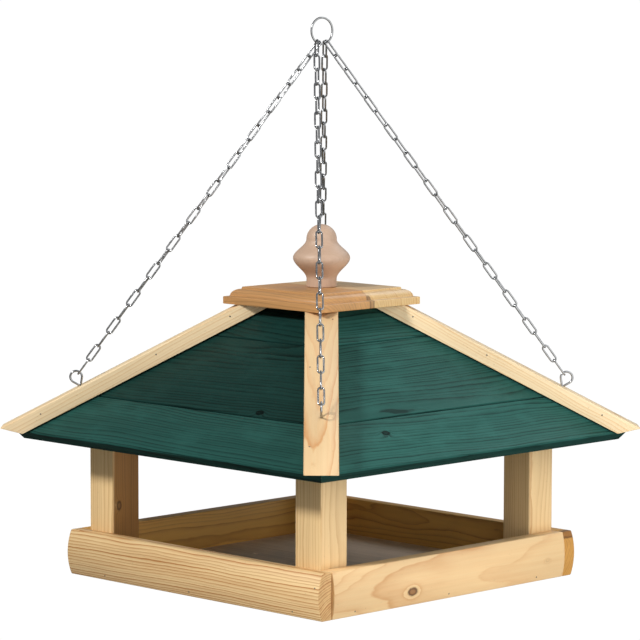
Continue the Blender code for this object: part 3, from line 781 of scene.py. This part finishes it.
def build_cap(frame):
    """The block that the rafters meet on, and the moulded plate over it."""
    grain = Grain(UP, ACROSS, middle_of("king_block"), (0.01, 0.03), 41.0)
    eased_piece(frame, "king_block", wood("king_block", **PINE), grain)
    grain = Grain(ACROSS, UP, middle_of("cap_plate"), (0.095, 0.040), 43.3)
    material = wood("cap", ring=0.0042, heart_radius=0.110, contrast=0.80, roughness=0.40, gloss=0.6,
                    end_shade=(1.1, 1.1, 1.0), knots=knots_of("cap_plate", grain), **RED_PINE)
    eased_piece(frame, "cap_plate", material, grain, CAP_EASE)


def build_knob(frame):
    """The finial and the dowel that holds it, of the same beech."""
    material = wood("beech", ring=0.0026, contrast=0.45, wander=0.010, roughness=0.46, relief=0.00005,
                    end_shade=(0.93, 0.90, 0.88), **BEECH)
    build_finial(material, Grain(UP, ACROSS, middle_of("finial"), (0.03, 0.05), 51.0))
    grain = Grain(UP, ACROSS, middle_of("finial_dowel"), (0.02, 0.02), 52.0)
    eased_piece(frame, "finial_dowel", material, grain)


# ---------------------------------------------------------------- stage, light and camera
def area_light(name, place, target, power, colour, size, size_y=None):
    """A square or oblong lamp, or a round one if it has one size only."""
    data = bpy.data.lights.new(name, "AREA")
    data.shape = "DISK" if size_y is None else "RECTANGLE"
    data.size = size
    if size_y is not None:
        data.size_y = size_y
    data.energy = power
    data.color = colour
    obj = bpy.data.objects.new(name, data)
    bpy.context.scene.collection.objects.link(obj)
    obj.location = place
    obj.rotation_euler = (target - place).to_track_quat("-Z", "Y").to_euler()
    obj.visible_camera = False


def build_lights():
    """A high key from the left, a broad soft one close on the right, and one from behind."""
    key = LIGHT_TARGET + Vector((-0.45, -3.6, 2.77))
    area_light("key_left", key, LIGHT_TARGET, 165.0, DAYLIGHT, 0.75)
    beside = LIGHT_TARGET + Vector((0.0, 0.35, 0.05))
    area_light("soft_right", beside + Vector((1.35, 0.0, 0.0)), beside, 42.0, SIDE_LIGHT, 3.2, 2.8)
    behind = LIGHT_TARGET + Vector((-0.4, 2.6, 2.6))
    area_light("back_right", behind, LIGHT_TARGET, 40.0, COOL_LIGHT, 2.4, 2.4)


def empty_tree(owner):
    owner.use_nodes = True
    owner.node_tree.nodes.clear()
    return owner.node_tree


def glow(tree, kind, strength, colour=(1.0, 1.0, 1.0)):
    node = tree.nodes.new(kind)
    node.inputs["Color"].default_value = (*colour, 1.0)
    node.inputs["Strength"].default_value = strength
    return node.outputs[0]


def mixed(tree, share, plain, special):
    """The plain shader, or the special one where the share is one."""
    mix = tree.nodes.new("ShaderNodeMixShader")
    for socket, source in zip(mix.inputs, (share, plain, special)):
        tree.links.new(source, socket)
    return mix.outputs[0]


def ray_is(tree, kind):
    return tree.nodes.new("ShaderNodeLightPath").outputs["Is " + kind + " Ray"]


def floor_material():
    """Pure white where the camera sees it and matt grey as a reflector; clear from beneath."""
    material = bpy.data.materials.new("pale_stage")
    tree = empty_tree(material)
    shown = glow(tree, "ShaderNodeEmission", SHOWN_WHITE)
    matt = tree.nodes.new("ShaderNodeBsdfDiffuse")
    matt.inputs["Color"].default_value = (0.40, 0.39, 0.37, 1.0)
    above = mixed(tree, ray_is(tree, "Camera"), matt.outputs[0], shown)
    beneath = tree.nodes.new("ShaderNodeNewGeometry").outputs["Backfacing"]
    clear = tree.nodes.new("ShaderNodeBsdfTransparent").outputs[0]
    output = tree.nodes.new("ShaderNodeOutputMaterial")
    tree.links.new(mixed(tree, beneath, above, clear), output.inputs["Surface"])
    return material


def build_world():
    """White where the camera sees it, pale in reflections and dim as light."""
    world = bpy.data.worlds.new("studio")
    tree = empty_tree(world)
    shown = glow(tree, "ShaderNodeBackground", SHOWN_WHITE)
    dim = glow(tree, "ShaderNodeBackground", WORLD_LIGHT, (0.95, 0.97, 1.0))
    pale = glow(tree, "ShaderNodeBackground", WORLD_MIRRORED)
    light = mixed(tree, ray_is(tree, "Glossy"), dim, pale)
    output = tree.nodes.new("ShaderNodeOutputWorld")
    tree.links.new(mixed(tree, ray_is(tree, "Camera"), light, shown), output.inputs["Surface"])
    bpy.context.scene.world = world


def build_stage():
    low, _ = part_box("tray_floor")
    bm = bmesh.new()
    bmesh.ops.create_grid(bm, x_segments=2, y_segments=2, size=STAGE_HALF)
    floor = new_object("stage_floor", bm, floor_material())
    floor.location = (0.0, 0.0, low.z - STAGE_BELOW)
    build_world()


def build_camera():
    data = bpy.data.cameras.new("camera")
    data.lens = CAMERA_LENS
    data.sensor_width = CAMERA_SENSOR
    data.shift_x = CAMERA_SHIFT
    camera = bpy.data.objects.new("camera", data)
    bpy.context.scene.collection.objects.link(camera)
    camera.location = CAMERA_PLACE
    facing = (CAMERA_TARGET - CAMERA_PLACE).to_track_quat("-Z", "Y").to_matrix()
    camera.rotation_euler = (facing @ Matrix.Rotation(CAMERA_ROLL, 3, "Z")).to_euler()
    bpy.context.scene.camera = camera
    bpy.context.scene.view_settings.view_transform = "Standard"


def build_timber(frame):
    build_rails(frame)
    build_floor(frame)
    build_posts(frame)
    build_hips(frame)
    build_boards(frame)
    build_cap(frame)
    build_knob(frame)


def build_metal(frame):
    """Ring, eyes, chains and nails; the post screws keep the CAD's shape."""
    zinc = steel("zinc_steel", (0.36, 0.37, 0.385), 0.20)
    build_ring(steel("ring_steel", (0.34, 0.35, 0.36), 0.16))
    for corner in CORNERS:
        build_eye(corner, zinc)
        build_chain(corner, zinc)
        materials = frame["nodes"]["post_screw_" + corner].data.materials
        materials.clear()
        materials.append(zinc)
    build_nails(steel("nail_steel", (0.20, 0.18, 0.155), 0.38, 0.7))


def main():
    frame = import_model()
    build_timber(frame)
    build_metal(frame)
    build_stage()
    build_lights()
    build_camera()


main()
